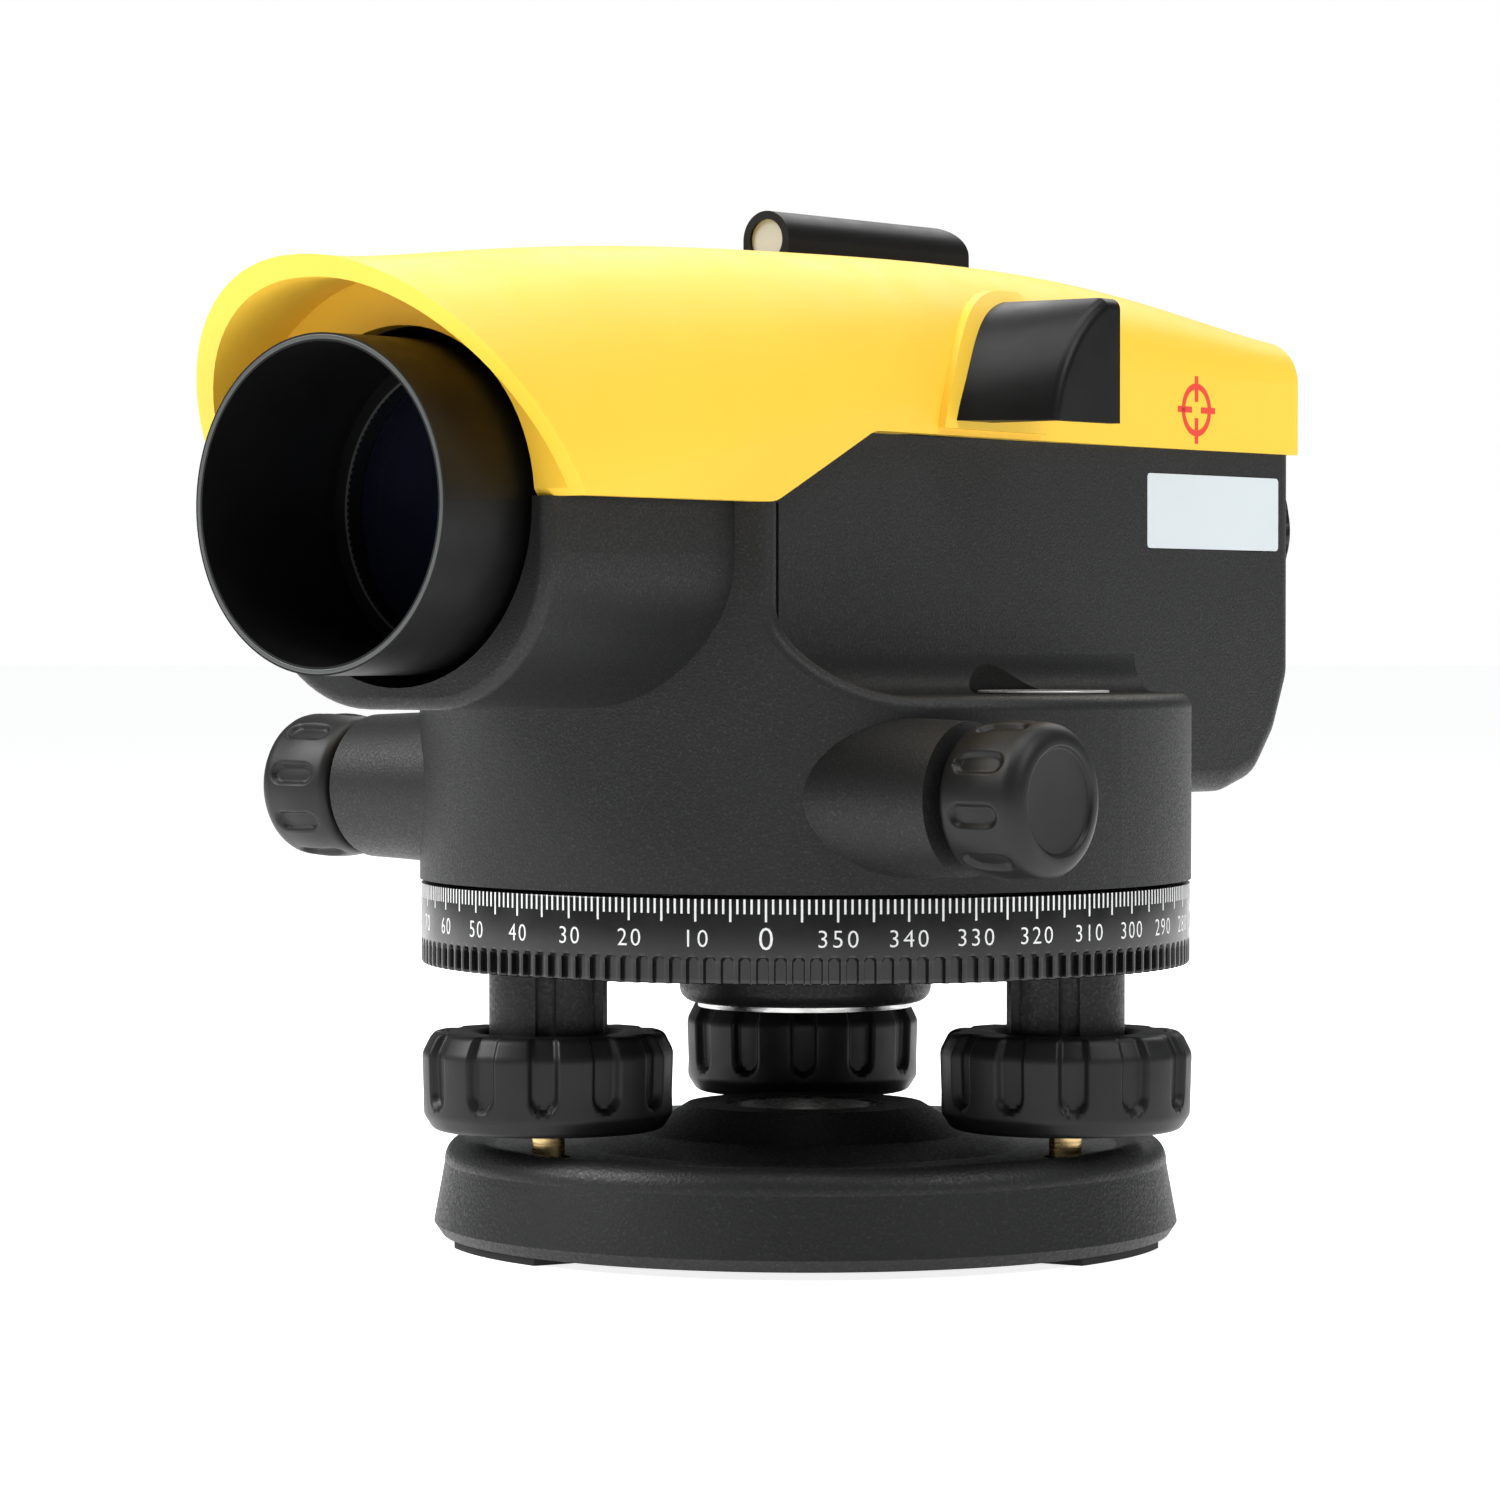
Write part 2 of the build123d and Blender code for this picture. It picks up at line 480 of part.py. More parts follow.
def make_focusing():
    carriage = tube_y(CARRIAGE_R, 8.0, -3.0, 15.0)
    pitch = pi * PINION_MODULE
    line_z = FOCUS_Z + PINION_MODULE * PINION_TEETH / 2
    x0, x1 = -15.5, -12.2
    rack = block(x0, x1, -11.0, 21.0, line_z + 0.62, 92.3)
    for i in range(-9, 10):
        y = FOCUS_Y + (i + 0.5) * pitch
        tooth = side_prism([(y - 0.38, line_z + 0.7), (y - 0.16, line_z - 0.36), (y + 0.16, line_z - 0.36),
                            (y + 0.38, line_z + 0.7)], (x1 - x0) / 2, x=(x0 + x1) / 2)
        rack += tooth
    arm = block(x1 - 0.5, -8.6, 2.5, 9.5, 90.2, 92.3)
    save("focus_carriage", carriage + rack + arm)
    save("focusing_lens", rod_y(8.0, 4.0, 8.0))
    gear = spur_gear(PINION_TEETH, PINION_MODULE, 0, x1 - x0, 0.36, -0.62, tooth=0.26)
    pinion = Pos(x0, FOCUS_Y, FOCUS_Z) * Rot(0, 90, 0) * gear
    save("focus_pinion", pinion + rod_x(2.0, -37.0, x0 + 0.5, FOCUS_Y, FOCUS_Z))
    knob = rod(FOCUS_KNOB_R, 24.0, 39.0)
    knob = fillet(circles_at(knob, 24.0) + circles_at(knob, 39.0), 2.0)
    flutes = 12
    for i in range(flutes):
        fx, fy = around(FOCUS_KNOB_R + 1.8, 360 / flutes * i)
        knob -= rod(2.6, 28.5, 34.5, fx, fy) + Pos(fx, fy, 28.5) * Sphere(2.6) + Pos(fx, fy, 34.5) * Sphere(2.6)
    knob -= rod(9.0, 38.4, 40) + rod(2.0, 23, 37)
    save("focus_knob", Pos(0, FOCUS_Y, FOCUS_Z) * Rot(0, -90, 0) * knob)


def make_compensator():
    y, pivot = PENDULUM_Y, PENDULUM_Z
    frame = block(-14.0, 14.0, y - 9, y + 9, LEDGE_Z, 72.6)
    for s in (-1, 1):
        x = sorted((s * 11.0, s * 14.0))
        frame += block(*x, y - 4, y + 4, 72.6, 101.5)
        pin = sorted((s * 8.0, s * 11.2))
        frame += rod_x(1.0, *pin, y, pivot)
    frame += block(-14.0, 14.0, y - 4, y + 4, 101.5, 103.4)
    save("compensator_frame", frame)
    save("damping_magnet", rod(4.0, 72.6, 75.0, 0, y))
    pendulum = block(-9.5, 9.5, y - 5, y + 5, 76.4, 80.0)
    for s in (-1, 1):
        x = sorted((s * 7.5, s * 9.5))
        pendulum += block(*x, y - 3, y + 3, 79.0, 101.0)
    pendulum -= rod_x(1.0 + RUNNING, -11, 11, y, pivot)
    save("compensator_pendulum", pendulum)
    save("compensator_prism", side_prism([(y - 5, 87.5), (y + 5, 87.5), (y, 97.5)], 7.5))


def make_eyepiece():
    rear = BOX_REAR_Y + 0.4
    holder = tube_y(NECK_R, 9.0, 62.0, rear) + tube_y(17.0, 9.0, rear, rear + 1.7)
    save("eyepiece_holder", holder)
    save("reticle_ring", tube_y(9.0, 6.0, 64.0, 67.0))
    save("reticle_glass", rod_y(6.0, 65.0, 66.2))
    bore = 9.0
    ring = rod(16.5, -91.0, -rear - 2.3)
    ring = fillet(circles_at(ring, -91.0) + circles_at(ring, -rear - 2.3), 0.8)
    for i in range(24):
        fx, fy = around(17.1, 15 * i)
        ring -= rod(1.2, -90.0, -rear - 3.3, fx, fy)
    place = Pos(0, 0, OPTICAL_Z) * Rot(90, 0, 0)
    save("eyepiece_ring", place * (ring - rod(bore, -95, -80)))
    cup = turned_points([(bore, -91.0), (12.5, -91.0), (11.4, -98.0), (10.8, -98.7), (bore, -98.7)])
    save("eyecup", place * cup)
    cell_r = bore - RUNNING
    save("eyepiece_cell", tube_y(cell_r, 7.0, 72.0, 93.5))
    save("eyepiece_lens", rod_y(7.0, 84.0, 88.0))


def make_axis():
    nut_z = (31.9, 34.8)
    spindle = rod(AXIS_R, 35.0, 65.0) + rod(4.0, nut_z[0] - 0.4, 35.0) + rod(15.0, 65.0, DRUM_FLOOR_Z)
    screws = []
    for azimuth in (45, 135, 225, 315):
        x, y = around(11.5, azimuth)
        spindle -= rod(1.3, 64, 69, x, y)
        screws.append(rod(2.2, 63.6, 65.0, x, y) + rod(1.3, 65.0, LEDGE_Z - 0.8, x, y))
    save("axis_spindle", spindle)
    screws += [rod(2.4, 95.4, 97.0, x, y) + rod(1.2, 97.0, 109.0, x, y) for x, y in COVER_SCREWS]
    save("housing_screws", Part() + screws)
    save("axis_nut", tube(7.2, 4.0, *nut_z))


make_base()
for screw_side, screw_azimuth in SCREW_AZIMUTHS.items():
    make_footscrew(screw_side, screw_azimuth)
make_tribrach()
make_circle()
make_drive()
make_housing()
cover_form = make_cover()
make_sight()
make_mirror(cover_form)
make_level()
make_telescope()
make_focusing()
make_compensator()
make_eyepiece()
make_axis()
save("label_plate", plate_block(0.5, 0.1))
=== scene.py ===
import json
import math

import bmesh
import bpy
from mathutils import Matrix, Vector


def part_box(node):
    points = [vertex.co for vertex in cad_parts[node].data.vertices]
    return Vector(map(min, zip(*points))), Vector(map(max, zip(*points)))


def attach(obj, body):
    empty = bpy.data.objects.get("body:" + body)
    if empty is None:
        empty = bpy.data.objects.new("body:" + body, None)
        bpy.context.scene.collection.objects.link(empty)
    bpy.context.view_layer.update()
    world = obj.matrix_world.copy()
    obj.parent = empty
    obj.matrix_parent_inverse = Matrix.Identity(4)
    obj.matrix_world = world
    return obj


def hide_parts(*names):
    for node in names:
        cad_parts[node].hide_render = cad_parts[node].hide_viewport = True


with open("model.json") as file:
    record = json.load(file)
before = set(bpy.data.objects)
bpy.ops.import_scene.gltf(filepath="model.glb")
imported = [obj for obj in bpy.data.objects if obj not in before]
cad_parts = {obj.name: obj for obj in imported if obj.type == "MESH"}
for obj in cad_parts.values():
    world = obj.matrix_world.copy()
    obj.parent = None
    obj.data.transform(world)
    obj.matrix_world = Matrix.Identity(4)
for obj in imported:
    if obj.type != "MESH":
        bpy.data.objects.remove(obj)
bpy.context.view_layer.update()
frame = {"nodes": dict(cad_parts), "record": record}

MM = 0.001
NODES = frame["nodes"]

# The line of sight runs along -Y. An azimuth of A degrees is the direction (sin A, -cos A).
CIRCLE_LOW, CIRCLE_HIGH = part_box("horizontal_circle")
CIRCLE_R = CIRCLE_HIGH.x
LIGHT_TARGET = Vector((0, 0, 70 * MM))


# ---- camera, lights and stage ----
def make_camera():
    """Camera a little above the drum, moved to its own left and tipped down by a small dip in degrees."""
    azimuth, dip = math.radians(39.07), 1.18
    distance, height, left = 664.1 * MM, 77.2 * MM, 7.217 * MM
    forward = Vector((-math.sin(azimuth), math.cos(azimuth), 0))
    right = Vector((math.cos(azimuth), math.sin(azimuth), 0))
    data = bpy.data.cameras.new("camera")
    data.lens, data.sensor_width = 122.2, 36.0
    data.clip_start, data.clip_end = 0.01, 20
    camera = bpy.data.objects.new("camera", data)
    bpy.context.scene.collection.objects.link(camera)
    camera.location = -distance * forward - left * right + Vector((0, 0, height))
    camera.rotation_euler = (math.radians(90 - dip), 0, azimuth)
    bpy.context.scene.camera = camera


def area_light(name, azimuth, elevation, distance, size, power):
    """Lamp that looks at the middle of the part, from an azimuth and an elevation in degrees."""
    a, e = math.radians(azimuth), math.radians(elevation)
    away = Vector((math.sin(a) * math.cos(e), -math.cos(a) * math.cos(e), math.sin(e)))
    data = bpy.data.lights.new(name, "AREA")
    data.shape, data.size, data.size_y = "RECTANGLE", *size
    data.energy = power
    lamp = bpy.data.objects.new(name, data)
    bpy.context.scene.collection.objects.link(lamp)
    lamp.location = LIGHT_TARGET + away * distance
    lamp.rotation_euler = away.to_track_quat("Z", "Y").to_euler()


def make_studio():
    """Pale floor and four soft lamps, in a world that is white to the camera and a dim room to the part."""
    bpy.ops.mesh.primitive_plane_add(size=40)
    floor = bpy.context.object
    floor.name = "floor"
    paper, _, _ = new_material("floor_paper", (0.7, 0.7, 0.7), 0.95, Specular_IOR_Level=0.0,
                               Emission_Color=(1, 1, 1, 1), Emission_Strength=0.84)
    floor.data.materials.append(paper)
    world = bpy.data.worlds.new("studio")
    world.use_nodes = True
    tree = world.node_tree
    room = tree.nodes["Background"]
    room.inputs["Color"].default_value = (0.96, 0.98, 1.0, 1)
    room.inputs["Strength"].default_value = 0.20
    white = add_node(tree, "ShaderNodeBackground", Color=(1, 1, 1, 1), Strength=1.0)
    seen = add_node(tree, "ShaderNodeLightPath")
    pick = add_node(tree, "ShaderNodeMixShader")
    tree.links.new(seen.outputs["Is Camera Ray"], pick.inputs[0])
    tree.links.new(room.outputs[0], pick.inputs[1])
    tree.links.new(white.outputs[0], pick.inputs[2])
    tree.links.new(pick.outputs[0], tree.nodes["World Output"].inputs["Surface"])
    bpy.context.scene.world = world
    area_light("key_left", -42, 40, 1.1, (0.55, 0.7), 12.0)
    area_light("fill_right", 95, 42, 1.2, (0.6, 0.6), 4.5)
    area_light("top", 30, 82, 1.0, (0.8, 0.8), 6.0)
    area_light("back", 200, 40, 1.2, (1.0, 0.6), 4.0)
    settings = bpy.context.scene.view_settings
    settings.view_transform, settings.look = "Standard", "None"


# ---- materials ----
def new_material(name, colour, roughness, **inputs):
    """Principled material; inputs are the shader's sockets, with _ for a space."""
    mat = bpy.data.materials.new(name)
    mat.use_nodes = True
    bsdf = mat.node_tree.nodes["Principled BSDF"]
    bsdf.inputs["Base Color"].default_value = (*colour, 1)
    bsdf.inputs["Roughness"].default_value = roughness
    for key, value in inputs.items():
        bsdf.inputs[key.replace("_", " ")].default_value = value
    return mat, bsdf, mat.node_tree


def add_node(tree, kind, **values):
    """Shader node; each value goes to the node's property of that name, or else to its input."""
    node = tree.nodes.new(kind)
    for key, value in values.items():
        if hasattr(node, key):
            setattr(node, key, value)
        else:
            node.inputs[key].default_value = value
    return node


def noise(tree, grain, detail=2.0, stretch=(1, 1, 1)):
    """Noise with features about grain metres across; a stretch under 1 draws them out along that axis."""
    coords = add_node(tree, "ShaderNodeTexCoord")
    tex = add_node(tree, "ShaderNodeTexNoise", Scale=1.0, Detail=detail)
    mapping = add_node(tree, "ShaderNodeMapping")
    mapping.inputs["Scale"].default_value = [s / grain for s in stretch]
    tree.links.new(coords.outputs["Object"], mapping.inputs["Vector"])
    tree.links.new(mapping.outputs["Vector"], tex.inputs["Vector"])
    return tex.outputs["Fac"]


def ramp(tree, source, stops):
    """Colour ramp from (position, colour) stops; a colour may be one number."""
    node = add_node(tree, "ShaderNodeValToRGB")
    while len(node.color_ramp.elements) < len(stops):
        node.color_ramp.elements.new(0.5)
    for element, (position, colour) in zip(node.color_ramp.elements, stops):
        element.position = position
        element.color = (*colour, 1) if isinstance(colour, tuple) else (colour,) * 3 + (1,)
    tree.links.new(source, node.inputs["Fac"])
    return node.outputs["Color"]


def bump(tree, bsdf, source, depth, strength):
    node = add_node(tree, "ShaderNodeBump", Strength=strength, Distance=depth)
    tree.links.new(source, node.inputs["Height"])
    tree.links.new(node.outputs["Normal"], bsdf.inputs["Normal"])


def shade(tint, factor):
    """The tint, lighter or darker."""
    return tuple(min(1.0, c * factor) for c in tint)


def powder_coat(name, tint, grain, depth, roughness=0.5, painted_glint_gain=2.6):
    """Textured paint: fine bumps, lighter specks on their tops as painted glints, slow patches of tone."""
    mat, bsdf, tree = new_material(name, tint, roughness, Specular_IOR_Level=0.30)
    fine = noise(tree, grain, 3.0)
    coarse = noise(tree, 18 * MM, 1.0)
    # Darker specks are random tone; the lightest ones, on the bump tops, are painted glints.
    specks_and_painted_glints = ramp(tree, fine, [(0.42, shade(tint, 0.85)), (0.58, tint), (0.78, shade(tint, painted_glint_gain))])
    patches = ramp(tree, coarse, [(0.3, 0.9), (0.7, 1.08)])
    mix = add_node(tree, "ShaderNodeMix", data_type="RGBA", blend_type="MULTIPLY")
    mix.inputs["Factor"].default_value = 1.0
    colour_a, colour_b, colour_out = mix.inputs[6], mix.inputs[7], mix.outputs[2]
    tree.links.new(specks_and_painted_glints, colour_a)
    tree.links.new(patches, colour_b)
    tree.links.new(colour_out, bsdf.inputs["Base Color"])
    gloss = ramp(tree, fine, [(0.3, roughness + 0.12), (0.7, roughness - 0.1)])
    tree.links.new(gloss, bsdf.inputs["Roughness"])
    bump(tree, bsdf, fine, depth, 0.55)
    return mat


def moulded(name, tint, grain, depth, roughness, variation=0.06, **inputs):
    """Moulded plastic or rubber: a faint eroded grain, slow tone changes and handling marks in the gloss."""
    mat, bsdf, tree = new_material(name, tint, roughness, **inputs)
    fine = noise(tree, grain, 3.0)
    slow = noise(tree, 25 * MM, 2.0)
    tree.links.new(ramp(tree, slow, [(0.3, shade(tint, 1 - variation)), (0.7, shade(tint, 1 + variation))]),
                   bsdf.inputs["Base Color"])
    tree.links.new(ramp(tree, noise(tree, 6 * MM, 4.0), [(0.3, roughness - 0.05), (0.7, roughness + 0.06)]),
                   bsdf.inputs["Roughness"])
    bump(tree, bsdf, fine, depth, 0.4)
    return mat


def machined(name, tint, roughness, stretch):
    """Turned or brushed metal: fine lines, drawn out along the axes whose stretch is under 1."""
    mat, bsdf, tree = new_material(name, tint, roughness, Metallic=1.0)
    lines = noise(tree, 0.35 * MM, 2.0, stretch)
    tone = ramp(tree, lines, [(0.3, shade(tint, 0.75)), (0.7, shade(tint, 1.1))])
    gloss = ramp(tree, lines, [(0.3, roughness + 0.1), (0.7, roughness - 0.05)])
    tree.links.new(tone, bsdf.inputs["Base Color"])
    tree.links.new(gloss, bsdf.inputs["Roughness"])
    bump(tree, bsdf, lines, 0.02 * MM, 0.3)
    return mat


def coated_glass(name, tint, coat, clear=0.0):
    """Glass with a tinted reflection, as of a coat; clear is the share that lets light through."""
    mat, bsdf, tree = new_material(name, tint, 0.03, IOR=1.5, Transmission_Weight=clear)
    bsdf.inputs["Specular Tint"].default_value = (*coat, 1)
    tree.links.new(ramp(tree, noise(tree, 9 * MM, 1.0), [(0.3, shade(tint, 0.85)), (0.7, shade(tint, 1.15))]),
                   bsdf.inputs["Base Color"])
    return mat


def make_materials():
    return {
        "housing": powder_coat("housing_paint", (0.0122, 0.0128, 0.0123), 0.32 * MM, 0.09 * MM, 0.46),
        "base_paint": powder_coat("base_paint", (0.0118, 0.0122, 0.0119), 0.45 * MM, 0.14 * MM, 0.44),
        "cover": moulded("cover_yellow", (0.98, 0.62, 0.055), 0.5 * MM, 0.02 * MM, 0.40, 0.02,
                         Specular_IOR_Level=0.35),
        "knob": moulded("knob_black", (0.0075, 0.0076, 0.0076), 0.35 * MM, 0.02 * MM, 0.42, 0.15,
                        Specular_IOR_Level=0.32),
        "circle_black": moulded("circle_black", (0.0050, 0.0050, 0.0055), 0.9 * MM, 0.005 * MM, 0.20, 0.1,
                                Specular_IOR_Level=0.5),
        "hood_black": moulded("hood_black", (0.0045, 0.0045, 0.0045), 0.3 * MM, 0.005 * MM, 0.42, 0.1,
                              Specular_IOR_Level=0.22),
        # hood_edge is also the colour of the painted highlight on the objective cell's edge.
        "hood_edge": moulded("hood_edge", (0.060, 0.066, 0.062), 0.3 * MM, 0.005 * MM, 0.4, 0.08),
        "trim_black": moulded("trim_black", (0.0040, 0.0040, 0.0040), 0.4 * MM, 0.01 * MM, 0.36, 0.12,
                              Specular_IOR_Level=0.25),
        "rubber": moulded("rubber_black", (0.012, 0.012, 0.012), 0.4 * MM, 0.05 * MM, 0.7, 0.15,
                          Specular_IOR_Level=0.3),
        "brass": machined("brass", (0.83, 0.60, 0.28), 0.24, (0.1, 0.1, 1)),
        "steel": machined("steel", (0.66, 0.66, 0.65), 0.24, (0.1, 0.1, 1)),
        # Near-white and partly diffuse: a metal rim with a painted glint on it.
        "rim_metal_painted_glint": moulded("rim_metal_painted_glint", (0.86, 0.85, 0.82), 0.4 * MM, 0.005 * MM, 0.3, 0.04, Metallic=0.4),
        "inner_black": moulded("inner_black", (0.004, 0.004, 0.004), 0.5 * MM, 0.05 * MM, 0.85, 0.1,
                               Specular_IOR_Level=0.1),
        "lens": coated_glass("coated_lens", (0.0055, 0.0065, 0.0140), (0.55, 0.62, 1.0)),
        "sight_glass": coated_glass("sight_glass", (0.50, 0.52, 0.51), (1.0, 1.0, 1.0)),
        "vial": coated_glass("vial_liquid", (0.62, 0.85, 0.22), (1.0, 1.0, 1.0), 0.55),
        "mirror": machined("mirror_silver", (0.93, 0.93, 0.94), 0.07, (1, 1, 1)),
        "label": moulded("label_plate", (0.66, 0.72, 0.74), 0.6 * MM, 0.01 * MM, 0.42, 0.02),
        "paint_white": moulded("paint_white", (0.80, 0.81, 0.80), 0.3 * MM, 0.005 * MM, 0.5, 0.03),
        "mark_red": moulded("mark_red", (0.80, 0.055, 0.025), 0.5 * MM, 0.01 * MM, 0.45, 0.05),
    }


def dress_cad(materials):
    """Puts each CAD node's finish on it by its material slot, apart from two that look different."""
    for entry in frame["record"]["subparts"]:
        node = NODES[entry["node"]]
        node.data.materials.clear()
        node.data.materials.append(materials[entry["material_slot"]])
    for node, finish in (("sight_lenses", "sight_glass"), ("objective_cell", "inner_black")):
        NODES[node].data.materials[0] = materials[finish]


# ---- mesh tools ----
def new_piece(name, vertices, faces, material, body, smooth=True):
    """Object that rides on a body, with its normals outwards and its material."""
    mesh = bpy.data.meshes.new(name)
    mesh.from_pydata([tuple(v) for v in vertices], [], faces)
    mesh.update()
    piece = bpy.data.objects.new(name, mesh)
    bpy.context.scene.collection.objects.link(piece)
    bm = bmesh.new()
    bm.from_mesh(mesh)
    bmesh.ops.recalc_face_normals(bm, faces=bm.faces)
    bm.to_mesh(mesh)
    bm.free()
    if smooth:
        mesh.shade_smooth()
        mesh.set_sharp_from_angle(angle=math.radians(38))
    mesh.materials.append(material)
    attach(piece, body)
    return piece


def lathe(profile, columns, radius_at=None, place=Matrix.Identity(4)):
    """Closed surface of revolution about Z from an (r, z) profile that starts and ends on the axis, or
    loops if it doesn't. radius_at(r, z, angle) may change the radius."""
    on_axis = profile[0][0] == 0
    rows = profile[1:-1] if on_axis else profile
    vertices, faces = [], []
    for r, z in rows:
        for i in range(columns):
            angle = math.tau * i / columns
            radius = radius_at(r, z, angle) if radius_at else r
            vertices.append(place @ Vector((radius * math.cos(angle), radius * math.sin(angle), z)))
    count = len(rows)
    for k in range(count - 1 if on_axis else count):
        below, above = k * columns, (k + 1) % count * columns
        for i in range(columns):
            j = (i + 1) % columns
            faces.append((below + i, below + j, above + j, above + i))
    if on_axis:
        for (_, z), first in ((profile[0], 0), (profile[-1], (count - 1) * columns)):
            tip = len(vertices)
            vertices.append(place @ Vector((0, 0, z)))
            faces += [(tip, first + i, first + (i + 1) % columns) for i in range(columns)]
    return vertices, faces


def rounded(points, radii, steps=5):
    """Profile with its corners rounded: radii[i] belongs to points[i]; a radius of 0 keeps the corner."""
    out = []
    for i, (point, radius) in enumerate(zip(points, radii)):
        p = Vector(point)
        if radius == 0:
            out.append(tuple(p))
            continue
        a = (Vector(points[i - 1]) - p).normalized()
        b = (Vector(points[(i + 1) % len(points)]) - p).normalized()
        half = a.angle(b) / 2
        reach = radius / math.tan(half)
        centre = p + (a + b).normalized() * (radius / math.sin(half))
        start, end = p + a * reach - centre, p + b * reach - centre
        turn = start.angle_signed(end)
        for k in range(steps + 1):
            arm = start.copy()
            arm.rotate(Matrix.Rotation(-turn * k / steps, 2))
            out.append(tuple(centre + arm))
    return out


def subdivided_rows(profile, longest):
    """Points of the closed profile, with more added so that no run is longer than longest."""
    out = []
    for (r0, z0), (r1, z1) in zip(profile, profile[1:] + profile[:1]):
        parts = max(1, math.ceil(math.hypot(r1 - r0, z1 - z0) / longest))
        out += [(r0 + (r1 - r0) * k / parts, z0 + (z1 - z0) * k / parts) for k in range(parts)]
    return out


def smooth_step(x):
    x = min(1.0, max(0.0, x))
    return x * x * (3 - 2 * x)


# ---- graduated circle ----
KNURL_POCKETS = 144
ZERO_AZIMUTH = 33.0            # where the 0 of the circle stands at rest
TICK_PROUD = 0.03 * MM


def circle_ring(materials):
    """The circle's ring with its row of arched pockets along the lower edge."""
    low, high = CIRCLE_LOW.z, CIRCLE_HIGH.z
    pitch = math.tau / KNURL_POCKETS
    half_width, arch_z, depth, soft = 0.74 * MM, low + 2.55 * MM, 0.75 * MM, 0.13 * MM
    band_r, band_z = CIRCLE_R - 1.2 * MM, low + 4.5 * MM

    def radius_at(r, z, angle):
        if r < band_r or z > band_z:
            return r
        across = abs((angle / pitch + 0.5) % 1 - 0.5) * pitch * CIRCLE_R
        up = max(0.0, z - arch_z)
        inside = half_width - math.hypot(across, up)
        return r - depth * smooth_step(inside / soft + 0.5)

    inner_r = CIRCLE_R - 3 * MM
    outline = rounded([(inner_r, low), (CIRCLE_R, low), (CIRCLE_R, high), (inner_r, high)],
                      [0, 0.45 * MM, 0.35 * MM, 0], 4)
    # Close rows up the rim, so that the pockets' arches come out round.
    fine = [(CIRCLE_R, low + (0.6 + 0.17 * k) * MM) for k in range(19)]
    at = next(i for i, p in enumerate(outline) if p[1] > low + 1 * MM)
    outline = outline[:at] + fine + outline[at:]
    outline = [p for i, p in enumerate(outline) if i == 0 or math.dist(p, outline[i - 1]) > 1e-7]
    vertices, faces = lathe(outline, KNURL_POCKETS * 14, radius_at)
    ring = new_piece("circle_ring", vertices, faces, materials["circle_black"], "circle")
    web_r = 16.5 * MM
    web_low, web_high = 42.05 * MM, 43.6 * MM
    web_end = inner_r + 0.5 * MM
    web = rounded([(web_r, web_low), (web_end, web_low), (web_end, web_high), (web_r, web_high)],
                  [0.2 * MM, 0, 0, 0.2 * MM], 3)
    vertices, faces = lathe(web, 180)
    plate = new_piece("circle_web", vertices, faces, materials["circle_black"], "circle")
    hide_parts("horizontal_circle")
    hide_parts("horizontal_circle")


def on_circle(azimuth, z, proud):
    """Point that stands proud of the circle's rim, at an azimuth in degrees."""
    a = math.radians(azimuth)
    r = CIRCLE_R + proud
    return Vector((r * math.sin(a), -r * math.cos(a), z))


def graduation(materials):
    """White lines every degree: short ones, and longer ones every fifth."""
    top = CIRCLE_HIGH.z - 0.12 * MM
    width = math.degrees(0.27 * MM / CIRCLE_R)
    vertices, faces = [], []
    for degree in range(360):
        length = (2.75 if degree % 5 == 0 else 1.8) * MM
        middle = ZERO_AZIMUTH - degree
        first = len(vertices)
        for proud in (-0.02 * MM, TICK_PROUD):
            for side, z in ((-1, top - length), (1, top - length), (1, top), (-1, top)):
                vertices.append(on_circle(middle + side * width / 2, z, proud))
        faces += [tuple(first + i for i in quad) for quad in
                  ((0, 3, 2, 1), (4, 5, 6, 7), (0, 1, 5, 4), (1, 2, 6, 5), (2, 3, 7, 6), (3, 0, 4, 7))]
    new_piece("graduation_lines", vertices, faces, materials["paint_white"], "circle",
              smooth=False)


def numerals(materials):
    """Figures every ten degrees, bent round the ring."""
    base_z = CIRCLE_HIGH.z - 5.95 * MM
    vertices, faces = [], []
    for degree in range(0, 360, 10):
        size = (4.0 if degree == 0 else 3.05) * MM
        curve = bpy.data.curves.new("figure", "FONT")
        curve.body, curve.size, curve.extrude = str(degree), size, 0.02 * MM
        curve.align_x, curve.resolution_u = "CENTER", 3
        curve.offset = -0.009 * size        # thins the strokes
        curve.space_character = 1.2
        text = bpy.data.objects.new("figure", curve)
        bpy.context.scene.collection.objects.link(text)
        bpy.context.view_layer.update()
        depsgraph = bpy.context.evaluated_depsgraph_get()
        mesh = bpy.data.meshes.new_from_object(text.evaluated_get(depsgraph))
        first = len(vertices)
        drop = (0.3 if degree == 0 else 0.0) * MM
        for v in mesh.vertices:
            azimuth = ZERO_AZIMUTH - degree + math.degrees(v.co.x / CIRCLE_R)
            vertices.append(on_circle(azimuth, base_z - drop + v.co.y, v.co.z + 0.005 * MM))
        faces += [tuple(first + i for i in polygon.vertices) for polygon in mesh.polygons]
        bpy.data.objects.remove(text)
        bpy.data.meshes.remove(mesh)
    new_piece("graduation_figures", vertices, faces, materials["paint_white"], "circle",
              smooth=False)


# ---- knobs ----
FOOTSCREWS = ("left", "right", "rear")     # a third of a turn apart
LEFT_FOOTSCREW_TURN = -20.93               # degrees


def node_place(node, turn):
    """Matrix from a knob's own frame, standing on z = 0, to its CAD node's place, and the knob's length;
    turn lays its axis down."""
    low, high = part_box(node)
    middle = (low + high) / 2
    axis = turn @ Vector((0, 0, 1))
    length = abs((high - low).dot(axis))
    return Matrix.Translation(middle - axis * length / 2) @ turn.to_4x4(), length


def flute(angle, count, half_angle, sharp):
    """1 at the middle of a flute, falling softly to 0 at its edges."""
    pitch = math.tau / count
    off = abs((angle / pitch + 0.5) % 1 - 0.5) * pitch
    return smooth_step((half_angle - off) / (half_angle * sharp))


